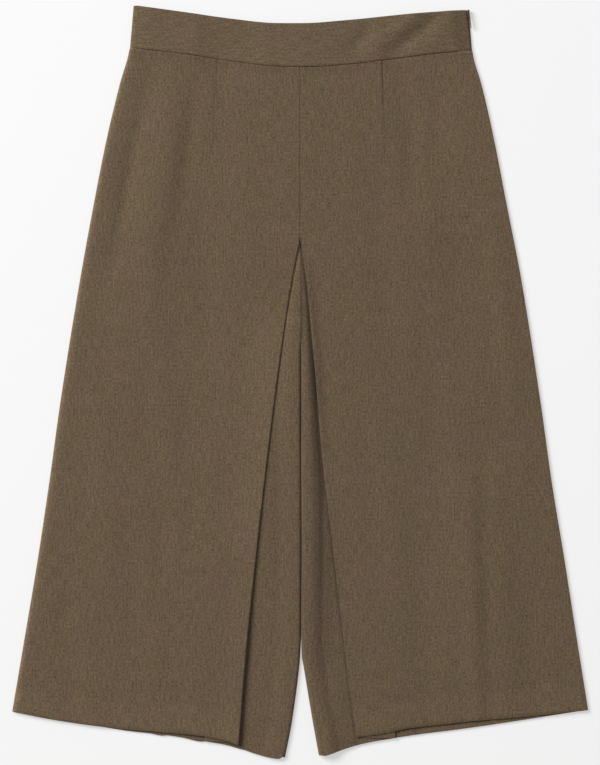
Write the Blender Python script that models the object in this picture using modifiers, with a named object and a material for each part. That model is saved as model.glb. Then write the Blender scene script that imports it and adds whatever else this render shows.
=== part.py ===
"""Culottes with an inverted centre-front pleat, laid flat on their back with the waist towards +Y.

Blender works in metres; every size below is in millimetres and is scaled once, as a point is
placed. X runs across the garment (-X is the wearer's right), Y up to the waist, Z off the table.
"Down" is measured from the level of the waist's highest corner, "out" from the centre line.
"""

import math
from collections import namedtuple

import bmesh
import bpy
from mathutils import Vector

MM = 0.001

# Driving sizes
WAIST_LEVEL = 395.4  # y of the waist's highest corner
CLOTH = 1.0  # wall of the suiting
BAND = 1.4  # wall of the interfaced waistband
GAP = 0.3  # between pieces that are sewn together
SIDE_HEM_DOWN = 740.5  # the side seams' lower ends
ZIP_LENGTH = 205.0  # the concealed zip, from the waist down the wearer's left side
CROTCH_DOWN = 330.0

# Levels of the layers' middle surfaces where they lie on each other
LAY = 0.05  # room that curved layers keep beyond the gap
BACK_LEVEL = CLOTH / 2
UNDERLAY_LEVEL = BACK_LEVEL + CLOTH + GAP + LAY
RETURN_LEVEL = UNDERLAY_LEVEL + CLOTH + GAP + LAY
PLEAT_LEVEL = RETURN_LEVEL + CLOTH + GAP + 4 * LAY
SIDE_LEVEL = 3.6
SEAM_FOOT = CLOTH + GAP  # where a rolled edge ends, just above the back
BAND_FOOT = BAND + GAP

# The pleat's hidden inner fold runs down and outward from the waist to the hem
INNER_FOLD_AT_WAIST = 24.0
INNER_FOLD_AT_HEM = 100.0
EDGE_ROLL = 3.5  # how far in an edge starts to roll down to its seam
PLEAT_RAMP = 55.0  # the top layer comes down this far outside the pleat
CROTCH_RUN = 45.0  # length over which the inner edge starts to roll down to the inseam
CREASE_FADE = 0.7  # how fully a soft fold holds its height along its length
CREASE_REACH = 2.5  # in half widths
CREASE_SHARPNESS = 1.4
SIDE_CALM = 40.0  # soft folds die out this near the side seam
PLEAT_STIFFNESS = 0.75  # how much the pleat's three layers flatten the soft folds

# Half of the garment's width down the wearer's right and left side seams, as they lie
Side = namedtuple("Side", "down right left")
SIDE_SEAM = (
    Side(44.6, 178.6, 180.4),
    Side(57.2, 181.5, 182.7),
    Side(78.0, 187.9, 189.1),
    Side(99.0, 193.3, 194.5),
    Side(141.0, 203.2, 203.8),
    Side(204.0, 215.8, 216.1),
    Side(288.0, 231.2, 232.5),
    Side(414.0, 251.6, 252.4),
    Side(498.0, 263.3, 264.2),
    Side(582.0, 275.9, 277.9),
    Side(656.0, 288.1, 289.4),
    Side(741.0, 302.1, 302.8),
)

# The waistband's upper edge and the seam under it
Waist = namedtuple("Waist", "x top seam")
WAIST = (
    Waist(-174.6, 0.0, 44.6),
    Waist(-124.0, 7.0, 50.2),
    Waist(-73.5, 14.1, 58.0),
    Waist(-23.0, 19.0, 63.6),
    Waist(2.0, 19.1, 64.3),
    Waist(52.5, 15.5, 61.2),
    Waist(103.0, 10.4, 55.0),
    Waist(153.0, 6.1, 49.0),
    Waist(178.0, 4.8, 47.8),
)
# The band's half width at its top and at its seam, in front and in the back
BAND_END = {-1: (174.6, 178.4), 1: (174.9, 180.3)}
BAND_BACK_END = {-1: (174.6, 178.4), 1: (177.3, 180.7)}

# Hems of the upper front layer and of the back, down from the waist level
Hem = namedtuple("Hem", "out front back")
HEM = {
    -1: (
        Hem(18.0, 780.0, 789.4),
        Hem(60.0, 777.0, 781.4),
        Hem(76.0, 772.2, 776.8),
        Hem(92.7, 768.4, 773.1),
        Hem(99.7, 767.1, 772.6),
        Hem(102.6, 766.6, 772.9),
        Hem(123.0, 764.4, 768.7),
        Hem(134.6, 763.5, 766.9),
        Hem(140.0, 763.1, 766.3),
        Hem(144.0, 762.8, 766.6),
        Hem(157.5, 761.6, 764.2),
        Hem(175.0, 760.2, 762.3),
        Hem(216.0, 756.0, 756.0),
        Hem(258.0, 749.8, 749.6),
        Hem(302.1, 741.2, 740.8),
    ),
    1: (
        Hem(20.0, 773.0, 786.8),
        Hem(60.0, 767.6, 776.2),
        Hem(80.0, 765.2, 772.2),
        Hem(95.0, 762.6, 769.8),
        Hem(107.0, 759.6, 767.8),
        Hem(126.0, 757.0, 765.0),
        Hem(160.0, 753.4, 760.8),
        Hem(185.0, 750.6, 757.4),
        Hem(230.0, 747.0, 750.7),
        Hem(270.0, 743.0, 744.4),
        Hem(302.8, 739.6, 739.4),
    ),
}

# Hem of the pleat's underlay
Underlay = namedtuple("Underlay", "out hem")
UNDERLAY = {
    -1: (
        Underlay(15.0, 788.7),
        Underlay(18.4, 788.9),
        Underlay(22.0, 790.8),
        Underlay(31.0, 789.7),
        Underlay(48.0, 785.2),
        Underlay(60.0, 781.0),
        Underlay(81.0, 775.6),
        Underlay(100.0, 772.4),
    ),
    1: (
        Underlay(20.0, 786.8),
        Underlay(23.0, 786.6),
        Underlay(26.0, 787.2),
        Underlay(31.0, 786.0),
        Underlay(43.0, 781.8),
        Underlay(59.0, 776.8),
        Underlay(76.0, 773.0),
        Underlay(100.0, 769.0),
    ),
}

# The pleat's visible fold and the leg's inner edge, out from the centre line
Pleat = namedtuple("Pleat", "down fold edge")
PLEAT = {
    -1: (
        Pleat(244.0, 0.15, 0.15),
        Pleat(299.0, 10.5, -0.45),
        Pleat(362.0, 20.0, -0.9),
        Pleat(456.0, 32.2, -0.95),
        Pleat(551.0, 43.2, -1.3),
        Pleat(656.0, 54.2, -0.8),
        Pleat(684.0, 56.7, 0.2),
        Pleat(708.0, 58.8, 2.6),
        Pleat(742.0, 61.4, 7.2),
        Pleat(755.0, 62.4, 9.2),
        Pleat(789.0, 65.6, 15.9),
    ),
    1: (
        Pleat(244.0, 0.15, 0.15),
        Pleat(299.0, 8.2, 0.85),
        Pleat(362.0, 13.9, 1.5),
        Pleat(467.0, 23.0, 1.65),
        Pleat(551.0, 32.6, 1.9),
        Pleat(656.0, 44.9, 1.4),
        Pleat(684.0, 48.2, 2.2),
        Pleat(692.0, 49.2, 3.7),
        Pleat(708.0, 51.3, 6.3),
        Pleat(755.0, 57.6, 14.2),
        Pleat(789.0, 62.3, 20.4),
    ),
}

# The underlay stands up in a soft crest beside the leg's edge: its height, that height for each
# millimetre of underlay that shows, how far from the edge it starts to fall, over what width, and
# the share of the fall that is left for the way on to the visible fold
Crest = namedtuple("Crest", "height slope start fall tail")
CREST = {-1: Crest(2.4, 0.15, 5.0, 22.0, 0.0), 1: Crest(7.2, 0.36, 5.5, 18.5, 0.33)}
CREST_FROM = 2.0  # the least that shows before the crest rises
CREST_SKEW = 1.5
CREST_SINKS = 0.3  # by this share, where much of the underlay shows
WIDE_UNDERLAY = (26.0, 50.0)
TAIL_FROM = 0.7  # of the steep fall
TAIL_NEEDS = 10.0

# The visible folds stand up a little where they open
Lift = namedtuple("Lift", "down height")
FOLD_LIFT = {
    -1: (Lift(244, -0.2), Lift(362, -0.2), Lift(467, 0), Lift(577, 0.9), Lift(690, 2.6), Lift(776, 2.6)),
    1: (Lift(244, 0), Lift(285, 1.5), Lift(362, 2.2), Lift(430, 1.8), Lift(490, 0.3), Lift(776, 0.2)),
}
FOLD_LIFT_WIDTH = {-1: 16.0, 1: 6.0}

# The largest soft folds of the upper layer: a line on the cloth, its half width and its height
Crease = namedtuple("Crease", "x down to_x to_down half_width height")
CREASES = (
    Crease(-150, 90, -186, 370, 24, 2.0),
    Crease(-112, 52, -143, 300, 15, -1.9),
    Crease(-196, 380, -205, 700, 34, 1.0),
    Crease(-118, 300, -122, 500, 26, -0.8),
    Crease(97, 70, 111, 225, 13, -1.7),
    Crease(147, 195, 147, 345, 16, -1.5),
    Crease(190, 200, 206, 430, 24, 1.6),
    Crease(164, 470, 172, 742, 22, 1.2),
    Crease(176, 430, 190, 742, 12, -2.2),
    Crease(214, 500, 222, 742, 42, 2.2),
    Crease(92, 44, 140, 17, 6, -1.9),
)

STATIONS = 20  # rings from the waist seam to the hem


def clamp01(value):
    return min(max(value, 0.0), 1.0)


def ease(value):
    """A soft step from 0 to 1."""
    t = clamp01(value)
    return t * t * (3 - 2 * t)


def mix(start, end, share):
    return start + (end - start) * share


def row_slope(keys, values, i):
    """The slope of a smooth curve at row i: flat where the rows turn."""
    before = (values[i] - values[i - 1]) / (keys[i] - keys[i - 1])
    after = (values[i + 1] - values[i]) / (keys[i + 1] - keys[i])
    if before * after <= 0:
        return 0.0
    return 2 * before * after / (before + after)


def along(rows, column, key):
    """A smooth curve through one column of a table, read against the table's first column."""
    keys = [row[0] for row in rows]
    values = [getattr(row, column) for row in rows]
    if key <= keys[0]:
        return values[0]
    if key >= keys[-1]:
        return values[-1]
    i = max(n for n in range(len(keys)) if keys[n] <= key)
    span = keys[i + 1] - keys[i]
    chord = (values[i + 1] - values[i]) / span
    start = row_slope(keys, values, i) if i > 0 else chord
    end = row_slope(keys, values, i + 1) if i + 2 < len(keys) else chord
    t = (key - keys[i]) / span
    rise = t * t * (3 - 2 * t)
    return (
        mix(values[i], values[i + 1], rise)
        + span * start * t * (1 - t) ** 2
        - span * end * t * t * (1 - t)
    )


def crease_height(x, down):
    """How far the soft folds lift or sink the upper cloth at a place."""
    total = 0.0
    for crease in CREASES:
        run = Vector((crease.to_x - crease.x, crease.to_down - crease.down))
        place = Vector((x - crease.x, down - crease.down))
        t = place.dot(run) / run.length_squared
        aside = (place - run * t).length / crease.half_width
        if 0 < t < 1 and aside < CREASE_REACH:
            fade = math.sin(math.pi * t) ** CREASE_FADE
            total += crease.height * fade * math.exp(-aside * aside * CREASE_SHARPNESS)
    return total


def side_out(sign, down):
    """How far out the side seam runs."""
    return along(SIDE_SEAM, "right" if sign < 0 else "left", down)


def inner_fold(down):
    """Where the pleat's hidden fold lies, out from the centre line."""
    share = (down - WAIST[0].seam) / (SIDE_HEM_DOWN - WAIST[0].seam)
    return mix(INNER_FOLD_AT_WAIST, INNER_FOLD_AT_HEM, clamp01(share))


def upper_level(x, down):
    """Height of the upper front layer's middle surface: over the pleat, then down to the sides."""
    out = abs(x)
    over_pleat = 1 - ease((out - inner_fold(down) - 2) / PLEAT_RAMP)
    sign = -1 if x < 0 else 1
    room = ease((side_out(sign, down) - out) / SIDE_CALM)
    soft_fold = room * crease_height(x, down) * (1 - PLEAT_STIFFNESS * over_pleat)
    from_fold = (out - along(PLEAT[sign], "fold", down)) / FOLD_LIFT_WIDTH[sign]
    lift = along(FOLD_LIFT[sign], "height", down) * math.exp(-from_fold * from_fold)
    return mix(SIDE_LEVEL, PLEAT_LEVEL, over_pleat) + soft_fold + lift


def panel_down(x, share, seam_drop, hem_drop):
    """Down the garment at a share of a panel's length: both ends bend to their curved seams."""
    sign = math.copysign(1, x)
    seam_side = along(WAIST, "seam", sign * side_out(sign, 0)) + GAP
    level = mix(seam_side, SIDE_HEM_DOWN, share)
    bend_top = (seam_drop - seam_side) * (1 - share) ** 2
    bend_hem = (hem_drop - SIDE_HEM_DOWN) * share**2
    return level + bend_top + bend_hem


class FrontLeg:
    """A front leg panel: one cloth folded in a Z, so that the pleat's underlay shows beside it."""

    # Cells across each stretch: rolled edge, upper layer, bend, return and underlay
    ROLL, TOP, BEND, BACKWARD, UNDER = 3, 15, 4, 3, 9
    ACROSS = ROLL + TOP + BEND + BACKWARD + BEND + UNDER + ROLL
    HIDDEN = 3 / UNDER  # the share of the underlay's cells that lie under the pleat

    def __init__(self, sign):
        self.sign = sign

    def down(self, out, share, layer):
        x = self.sign * out
        front = along(HEM[self.sign], "front", out)
        under = along(UNDERLAY[self.sign], "hem", out)
        seam = along(WAIST, "seam", x) + GAP
        return panel_down(x, share, seam, mix(front, under, layer))

    def feature(self, column, share, layer):
        """The fold's or the edge's place at a station, settled with the station's own bend."""
        out = 0.0
        for _ in range(3):
            out = along(PLEAT[self.sign], column, self.down(out, share, layer))
        return out

    def underlay_level(self, out, fold, edge):
        """The underlay lies flat under the pleat and stands up in a soft crest at the leg's edge."""
        crest = CREST[self.sign]
        shows = max(fold - CLOTH / 2 - edge, LAY)
        low, high = WIDE_UNDERLAY
        sunk = 1 - CREST_SINKS * ease((shows - low) / (high - low))
        height = min(crest.height, crest.slope * max(shows - CREST_FROM, 0)) * sunk
        start = min(crest.start, shows * 0.3)
        width = min(crest.fall, shows - start)
        fallen = ease(clamp01((out - edge - start) / width) ** CREST_SKEW)
        knee = start + width * TAIL_FROM
        onward = clamp01((out - edge - knee) / (shows - knee))
        tail = crest.tail * ease((shows - knee) / TAIL_NEEDS)
        return UNDERLAY_LEVEL + height * (1 - mix(fallen, onward, tail))

    def rim_lean(self, rolled, level):
        """How much of the wall's half thickness a rolled rim takes up sideways."""
        last_cell = math.radians(90) * (1 - 1 / self.ROLL)
        drop = rolled * (level - SEAM_FOOT) * math.cos(last_cell)
        return math.sin(math.atan2(drop, EDGE_ROLL * (1 - math.sin(last_cell))))

    def point(self, index, share):
        """One point of the section at a station, from the side seam round to the inner edge."""
        fold = self.feature("fold", share, 0) + CLOTH / 2
        edge = self.feature("edge", share, 1)
        side_down = self.down(side_out(self.sign, SIDE_HEM_DOWN), share, 0)
        side = side_out(self.sign, side_down) - CLOTH / 2
        x_side = self.sign * (side - EDGE_ROLL)
        down_fold = self.down(fold, share, 0)
        inner = inner_fold(down_fold)
        fold_level = upper_level(self.sign * fold, down_fold)
        half = (fold_level - RETURN_LEVEL) / 2
        half_in = (RETURN_LEVEL - UNDERLAY_LEVEL) / 2

        if index <= self.ROLL:
            turn = math.radians(90) * index / self.ROLL
            level = upper_level(x_side, self.down(side, share, 0))
            out = side - EDGE_ROLL * (1 - math.cos(turn))
            return out, mix(SEAM_FOOT, level, math.sin(turn)), 0
        index -= self.ROLL
        if index <= self.TOP:
            out = mix(side - EDGE_ROLL, fold + half, index / self.TOP)
            return out, upper_level(self.sign * out, self.down(out, share, 0)), 0
        index -= self.TOP
        if index <= self.BEND:
            turn = math.pi * index / self.BEND
            out = fold + half * (1 - math.sin(turn))
            return out, RETURN_LEVEL + half * (1 + math.cos(turn)), 0
        index -= self.BEND
        if index <= self.BACKWARD:
            part = index / self.BACKWARD
            return mix(fold + half, inner - half_in, part), RETURN_LEVEL, part
        index -= self.BACKWARD
        if index <= self.BEND:
            turn = math.pi * index / self.BEND
            out = inner - half_in * (1 - math.sin(turn))
            return out, UNDERLAY_LEVEL + half_in * (1 + math.cos(turn)), 1
        index -= self.BEND
        rolled = ease((self.down(0, share, 1) - CROTCH_DOWN) / CROTCH_RUN)
        end = edge + self.rim_lean(rolled, self.underlay_level(edge, fold, edge)) * CLOTH / 2
        if index <= self.UNDER:
            part = index / self.UNDER
            hidden = clamp01(part / self.HIDDEN)
            seen = clamp01((part - self.HIDDEN) / (1 - self.HIDDEN))
            roll_starts = end + EDGE_ROLL
            out = mix(inner - half_in, max(fold, roll_starts + CLOTH), hidden)
            out = mix(out, roll_starts, seen)
            return out, self.underlay_level(out, fold, edge), 1
        index -= self.UNDER
        turn = math.radians(90) * index / self.ROLL
        out = end + EDGE_ROLL * (1 - math.sin(turn))
        level = self.underlay_level(out, fold, edge)
        return out, mix(level, mix(level, SEAM_FOOT, 1 - math.cos(turn)), rolled), 1

    def place(self, u, v):
        out, level, layer = self.point(round(u * self.ACROSS), v)
        down = self.down(out, v, layer)
        return Vector((self.sign * out, WAIST_LEVEL - down, level)) * MM


def back_leg_place(sign):
    """A back leg panel lies flat on the table, a little inside the front's rolled edges."""

    def place(u, v):
        seam_side = along(WAIST, "seam", sign * side_out(sign, 0))

        def down_at(out):
            hem = along(HEM[sign], "back", out)
            return panel_down(sign * out, v, along(WAIST, "seam", sign * out) + GAP, hem)

        level = mix(seam_side, SIDE_HEM_DOWN, v)
        side = side_out(sign, level) - GAP / 2
        edge = along(PLEAT[sign], "edge", down_at(0.0)) + GAP / 4
        out = mix(edge, side, u)
        return Vector((sign * out, WAIST_LEVEL - down_at(out), BACK_LEVEL)) * MM

    return place


def band_x(ends, u, v, inset):
    """Across the waistband from end to end at a share of its depth."""
    left = -mix(*ends[-1], v) + inset
    right = mix(*ends[1], v) - inset
    return mix(left, right, u)


def band_down(x, v):
    return mix(along(WAIST, "top", x), along(WAIST, "seam", x), v)


BAND_ROLL, BAND_FLAT = 3, 26
BAND_ACROSS = BAND_ROLL + BAND_FLAT + BAND_ROLL


def band_front_place(u, v):
    """The front waistband follows the layers under it and rolls down at both ends."""
    index = round(u * BAND_ACROSS)
    from_end = min(index, BAND_ACROSS - index)
    flat_share = clamp01((index - BAND_ROLL) / BAND_FLAT)
    x = band_x(BAND_END, flat_share, v, BAND / 2 + EDGE_ROLL)
    down = band_down(x, v)
    level = upper_level(x, down) + (BAND - CLOTH) / 2
    if from_end < BAND_ROLL:
        turn = math.radians(90) * from_end / BAND_ROLL
        x += math.copysign(EDGE_ROLL * math.cos(turn), x)
        level = mix(BAND_FOOT, level, math.sin(turn))
    return Vector((x, WAIST_LEVEL - down, level)) * MM


def band_back_place(u, v):
    x = band_x(BAND_BACK_END, u, v, GAP / 2)
    down = band_down(x, v) + GAP * (1 - v)
    return Vector((x, WAIST_LEVEL - down, BAND / 2)) * MM


ZIP_TAPE_WIDTH = 11.0
ZIP_TAPE_INSET = 5.0  # from the side seam to the closed coil
ZIP_TAPE_WALL = 1.0


def zip_tape_place(u, v):
    """The closed zip's two tapes lie pressed together inside the side seam."""
    top = along(WAIST, "top", BAND_END[1][0]) + 2
    down = mix(top, ZIP_LENGTH, v)
    seam = along(WAIST, "seam", side_out(1, 0))
    if down < seam:
        side = mix(*BAND_END[1], (down - top) / (seam - top))
    else:
        side = side_out(1, down)
    out = side - ZIP_TAPE_INSET - ZIP_TAPE_WIDTH * (1 - u)
    return Vector((out, WAIST_LEVEL - down, BAND_FOOT + ZIP_TAPE_WALL / 2)) * MM


def material(name, colour, roughness, metallic=0.0):
    mat = bpy.data.materials.new(name)
    mat.use_nodes = True
    shader = mat.node_tree.nodes["Principled BSDF"]
    shader.inputs["Base Color"].default_value = (*colour, 1.0)
    shader.inputs["Roughness"].default_value = roughness
    shader.inputs["Metallic"].default_value = metallic
    return mat


def add_object(name, mesh, mat, collection):
    piece = bpy.data.objects.new(name, mesh)
    mesh.materials.append(mat)
    collection.objects.link(piece)
    return piece


def cloth_piece(name, across, lengthways, place, wall, mat, collection):
    """A grid laid on a surface that place(u, v) gives, with a wall built half to each side."""
    shape = bmesh.new()
    bmesh.ops.create_grid(shape, x_segments=across, y_segments=lengthways, size=1.0)
    for vert in shape.verts:
        vert.co = place((vert.co.x + 1) / 2, (vert.co.y + 1) / 2)
    mesh = bpy.data.meshes.new(name)
    shape.to_mesh(mesh)
    shape.free()
    mesh.shade_smooth()
    mesh.set_sharp_from_angle(angle=math.radians(50))
    piece = add_object(name, mesh, mat, collection)
    solid = piece.modifiers.new("wall", "SOLIDIFY")
    solid.thickness = wall * MM
    solid.offset = 0.0
    solid.use_even_offset = True
    return piece


# The slider stands at the top of the side seam; its bar is the pull's hinge.
# Slider and pull are drawn about the bar's centre, with y up the seam and x away from the cloth.
SLIDER_HEIGHT = 4.0  # across the seam
SLIDER_FOOT = BAND_FOOT  # over the back waistband's edge
SLIDER_DOWN = 1.0  # below the band's corner
SLIDER_LENGTH = 8.0
SLIDER_GAP = 0.4
PLATE = 0.6
BAR_OUT = 1.75  # from the plate's inner face to the bar's centre
BAR_RADIUS = 0.3
EYE_RADIUS = 0.85
EYE_HOLE = 0.58
EAR = 0.7
EAR_LENGTH = 1.6
EAR_BACK = 0.15  # from the plate's upper end
PULL_LENGTH = 19.0
PULL_WIDTH = 3.2
PULL_WALL = 0.9


def band_end_slope():
    """The angle by which the waistband's left end leans out on its way down."""
    top, seam = BAND_END[1]
    depth = along(WAIST, "seam", seam) - along(WAIST, "top", top)
    return math.atan2(seam - top, depth)


def hinge_place():
    """The middle of the slider's bar, at the waistband's upper corner."""
    slope = band_end_slope()
    away = BAR_OUT + SLIDER_GAP
    top = BAND_END[1][0]
    x = top + away * math.cos(slope) + SLIDER_DOWN * math.sin(slope)
    y = WAIST_LEVEL - along(WAIST, "top", top) + away * math.sin(slope) - SLIDER_DOWN * math.cos(slope)
    return Vector((x, y, SLIDER_FOOT + SLIDER_HEIGHT / 2))


def block(name, low, high, mat, collection):
    """A box between two corners, in millimetres."""
    shape = bmesh.new()
    bmesh.ops.create_cube(shape, size=1.0)
    centre = (Vector(low) + Vector(high)) / 2
    size = Vector(high) - Vector(low)
    for vert in shape.verts:
        vert.co = Vector(a * b for a, b in zip(vert.co, size)) + centre
        vert.co *= MM
    mesh = bpy.data.meshes.new(name)
    shape.to_mesh(mesh)
    shape.free()
    return add_object(name, mesh, mat, collection)


def post(name, radius, height, mat, collection):
    """An upright cylinder centred on its own origin."""
    shape = bmesh.new()
    bmesh.ops.create_cone(
        shape,
        cap_ends=True,
        segments=20,
        radius1=radius * MM,
        radius2=radius * MM,
        depth=height * MM,
    )
    mesh = bpy.data.meshes.new(name)
    shape.to_mesh(mesh)
    shape.free()
    return add_object(name, mesh, mat, collection)


def combine(piece, other, operation):
    other.hide_render = True
    other.display_type = "WIRE"
    step = piece.modifiers.new(other.name, "BOOLEAN")
    step.operation = operation
    step.object = other


def zip_slider(frame, mat, collection, cutters):
    """A plate against the seam with two ears and the bar between them."""
    half = SLIDER_HEIGHT / 2
    head = EAR_LENGTH / 2
    low = (-BAR_OUT, head - SLIDER_LENGTH, -half)
    plate = block("zip_slider", low, (PLATE - BAR_OUT, head, half), mat, collection)
    bar = post("bar", BAR_RADIUS, SLIDER_HEIGHT - EAR, mat, cutters)
    ears = [
        block(
            name,
            (PLATE / 2 - BAR_OUT, -head, foot),
            (BAR_RADIUS * 1.8, head - EAR_BACK, foot + EAR),
            mat,
            cutters,
        )
        for name, foot in (("low_ear", -half), ("high_ear", half - EAR))
    ]
    for solid in (*ears, bar):
        combine(plate, solid, "UNION")
    for piece in (plate, *ears, bar):
        piece.parent = frame


def zip_pull(frame, mat, collection, cutters):
    """A teardrop tab with an eye round the slider's bar, hanging down the seam."""
    shape = bmesh.new()
    bmesh.ops.create_circle(shape, cap_ends=True, segments=24, radius=1.0)
    for vert in shape.verts:
        down_tab = (1 - vert.co.x) / 2  # 0 at the eye, 1 at the round end
        swell = 0.42 + 0.58 * ease(down_tab * 1.3)
        y = -EYE_RADIUS * 0.6 - down_tab * (PULL_LENGTH - EYE_RADIUS)
        vert.co = Vector((0.0, y, vert.co.y * swell * PULL_WIDTH / 2)) * MM
    mesh = bpy.data.meshes.new("zip_pull")
    shape.to_mesh(mesh)
    shape.free()
    tab = add_object("zip_pull", mesh, mat, collection)
    solid = tab.modifiers.new("wall", "SOLIDIFY")
    solid.thickness = PULL_WALL * MM
    solid.offset = 0.0
    eye = post("eye", EYE_RADIUS, PULL_WIDTH * 0.8, mat, cutters)
    hole = post("hole", EYE_HOLE, PULL_WIDTH * 2, mat, cutters)
    combine(tab, eye, "UNION")
    combine(tab, hole, "DIFFERENCE")
    for piece in (tab, eye, hole):
        piece.parent = frame


def new_collection(name):
    collection = bpy.data.collections.new(name)
    bpy.context.scene.collection.children.link(collection)
    return collection


def build():
    for old in list(bpy.data.objects):
        bpy.data.objects.remove(old)
    garment = new_collection("culottes")
    cutters = new_collection("cutters")
    suiting = material("suiting", (0.133, 0.093, 0.058), 0.85)
    band_cloth = material("band_cloth", (0.140, 0.098, 0.060), 0.82)
    tape = material("zip_tape", (0.060, 0.050, 0.036), 0.8)
    lacquer = material("zip_lacquer", (0.075, 0.062, 0.040), 0.35)
    for sign, wearer_side in ((-1, "right"), (1, "left")):
        leg = FrontLeg(sign)
        cloth_piece(
            f"front_leg_{wearer_side}", leg.ACROSS, STATIONS, leg.place, CLOTH, suiting, garment
        )
        cloth_piece(
            f"back_leg_{wearer_side}", 12, STATIONS, back_leg_place(sign), CLOTH, suiting, garment
        )
    cloth_piece("waistband_front", BAND_ACROSS, 6, band_front_place, BAND, band_cloth, garment)
    cloth_piece("waistband_back", 28, 1, band_back_place, BAND, band_cloth, garment)
    cloth_piece("zip_tape", 1, 12, zip_tape_place, ZIP_TAPE_WALL, tape, garment)
    hinge = bpy.data.objects.new("zip_hinge", None)
    hinge.location = hinge_place() * MM
    hinge.rotation_euler.z = band_end_slope()
    garment.objects.link(hinge)
    zip_slider(hinge, lacquer, garment, cutters)
    zip_pull(hinge, lacquer, garment, cutters)


build()
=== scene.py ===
# %% [markdown]
# # Culottes with an inverted front pleat, laid flat
# These are wide, calf-length culottes in a brown melange suiting. They lie on their back on a pale
# floor and the camera looks straight down at them. A maker cuts two front legs, two back legs and
# a contoured waistband in two halves, and sews a concealed zip into the wearer's left side.
# The solids from the CAD hold the sizes. This script lays a finer cloth over each of them, made of
# the same tables of real sizes, and gives it its creases, its seams and its weave.

# %% Load the fixed frame
import math
from collections import namedtuple

import bmesh
import bpy
import numpy as np
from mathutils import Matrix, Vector


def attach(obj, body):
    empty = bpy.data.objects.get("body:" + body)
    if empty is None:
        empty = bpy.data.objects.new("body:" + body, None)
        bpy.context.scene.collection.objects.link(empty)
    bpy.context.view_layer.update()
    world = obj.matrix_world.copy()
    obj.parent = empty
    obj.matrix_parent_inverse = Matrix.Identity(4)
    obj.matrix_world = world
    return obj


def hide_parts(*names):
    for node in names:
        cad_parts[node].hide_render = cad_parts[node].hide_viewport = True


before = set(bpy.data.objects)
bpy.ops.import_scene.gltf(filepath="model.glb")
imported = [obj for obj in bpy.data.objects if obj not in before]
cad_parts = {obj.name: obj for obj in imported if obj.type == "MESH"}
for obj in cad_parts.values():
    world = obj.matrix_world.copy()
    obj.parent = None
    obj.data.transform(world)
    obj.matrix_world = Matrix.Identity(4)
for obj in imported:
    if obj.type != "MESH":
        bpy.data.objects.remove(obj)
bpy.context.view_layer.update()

# %% [markdown]
# ## Sizes of the garment
# Every size is in millimetres and is scaled once, when a point is placed. X runs across the
# garment (the wearer's right is -X, the photo's left), "down" is measured from the waist's highest
# corner, and "out" from the centre line. Pattern pieces are described the same way, by widths at a
# few levels, so short tables with a smooth curve through them say more than long lists of points.

# %% Driving sizes
MM = 0.001
WAIST_LEVEL = 395.4  # y of the waist's highest corner
SIDE_HEM_DOWN = 740.5  # the side seams' lower ends
CLOTH = 0.9  # wall of the suiting
BAND = 1.5  # wall of the interfaced waistband
GAP = 0.3  # between pieces that are sewn together
SEAM_GAP = 0.1  # the front legs start this far below the band
EDGE_ROLL = 3.5  # an edge starts to roll down this far in from its seam
HEM_TURN = 31.0  # depth of the turned-up hem
print(f"walls of {CLOTH} and {BAND} mm, hems turned up by {HEM_TURN} mm")

# %% [markdown]
# ## Side seams and waist
# These outline the laid garment. Both were read off the photo where their curves change, and are
# kept as real sizes. Each end of the band is how far out it is at the top and at the waist seam.

# %% Tables of the side seams, the waist and the band's ends
def table(columns, rows):
    """Rows of numbers with a name for each column."""
    row = namedtuple("Row", columns)
    return [row(*numbers) for numbers in rows]


SIDE_SEAM = table("down right left", (
    (44.6, 178.6, 180.4), (57.2, 181.5, 182.7), (78, 187.9, 189.1), (99, 193.3, 194.5),
    (141, 203.2, 203.8), (204, 215.8, 216.1), (288, 231.2, 232.5), (414, 251.6, 252.4),
    (498, 263.3, 264.2), (582, 275.9, 277.9), (656, 288.1, 289.4), (741, 302.1, 302.8),
))

WAIST = table("x top seam", (
    (-174.6, 0, 44.6), (-124, 7, 50.2), (-73.5, 14.1, 58), (-23, 19, 63.6),
    (2, 19.1, 64.3), (52.5, 15.5, 61.2), (103, 10.4, 55), (153, 6.1, 49),
    (178, 4.8, 47.8),
))
BAND_END = {-1: (174.6, 178.4), 1: (174.9, 180.3)}
BAND_BACK_END = {-1: (174.6, 178.4), 1: (177.3, 180.7)}
print(len(SIDE_SEAM), "levels on the side seams,", len(WAIST), "places along the waist")

# %% [markdown]
# ## Hems
# The front, the pleat's underlay and the back each end at their own level, so a few millimetres of
# the lower layers look out below the front hem. One straight hem would be simpler, but the slivers
# show that the garment is cloths laid on each other.

# %% Tables of the hems
HEM = {
    -1: table("out front back", (
        (18, 780, 789.4), (60, 777, 781.4), (76, 772.2, 776.8), (92.7, 768.4, 773.1),
        (99.7, 767.1, 772.6), (102.6, 766.6, 772.9), (123, 764.4, 768.7), (134.6, 763.5, 766.9),
        (140, 763.1, 766.3), (144, 762.8, 766.6), (157.5, 761.6, 764.2), (175, 760.2, 762.3),
        (216, 756, 756), (258, 749.8, 749.6), (302.1, 741.2, 740.8),
    )),
    1: table("out front back", (
        (20, 773, 786.8), (60, 767.6, 776.2), (80, 765.2, 772.2), (95, 762.6, 769.8),
        (107, 759.6, 767.8), (126, 757, 765), (160, 753.4, 760.8), (185, 750.6, 757.4),
        (230, 747, 750.7), (270, 743, 744.4), (302.8, 739.6, 739.4),
    )),
}

UNDERLAY = {
    -1: table("out hem", (
        (15, 788.7), (18.4, 788.9), (22, 790.8), (31, 789.7), (48, 785.2), (60, 781),
        (81, 775.6), (100, 772.4),
    )),
    1: table("out hem", (
        (20, 786.8), (23, 786.6), (26, 787.2), (31, 786), (43, 781.8), (59, 776.8),
        (76, 773), (100, 769),
    )),
}
print("lowest hem", max(row.hem for side in UNDERLAY.values() for row in side), "mm down")

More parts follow.
